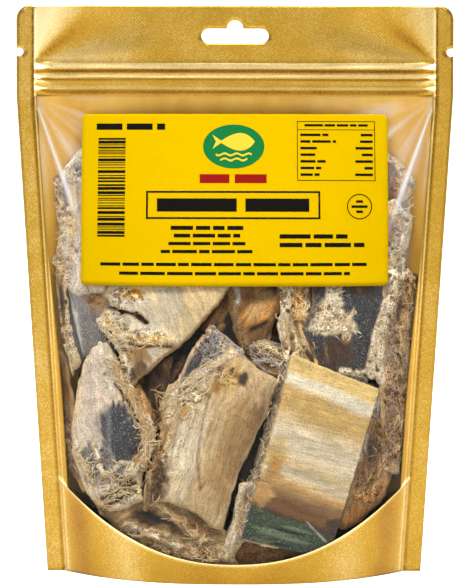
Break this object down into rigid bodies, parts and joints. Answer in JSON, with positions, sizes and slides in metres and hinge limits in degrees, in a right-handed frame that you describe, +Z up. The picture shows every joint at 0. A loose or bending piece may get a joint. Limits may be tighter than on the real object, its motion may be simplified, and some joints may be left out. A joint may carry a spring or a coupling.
{
  "type": "stand-up pouch of stockfish",
  "caption": "Gold foil stand-up pouch with a clear front window, press-to-close strip and hang slot, filled with dried fish chunks and carrying a plain yellow label.",
  "frame": {"origin": "on the floor under the middle of the pouch", "axes": "+Z up, -Y out of the front face with the label, +X to the right as seen from the front"},
  "size_m": [0.208, 0.0834, 0.27],
  "materials": {
    "gold_foil": "gold metallised laminate, satin to glossy, hatched in the side seals",
    "label_paper": "bright yellow coated paper with plain dark bars and boxes",
    "clear_film": "clear glossy film with soft creases",
    "dried_fish": "dry fibrous flesh, cream to brown, with grey-black skin"
  },
  "bodies": {
    "root": {"pouch": "gold_foil", "label": "label_paper"}
  },
  "joints": []
}
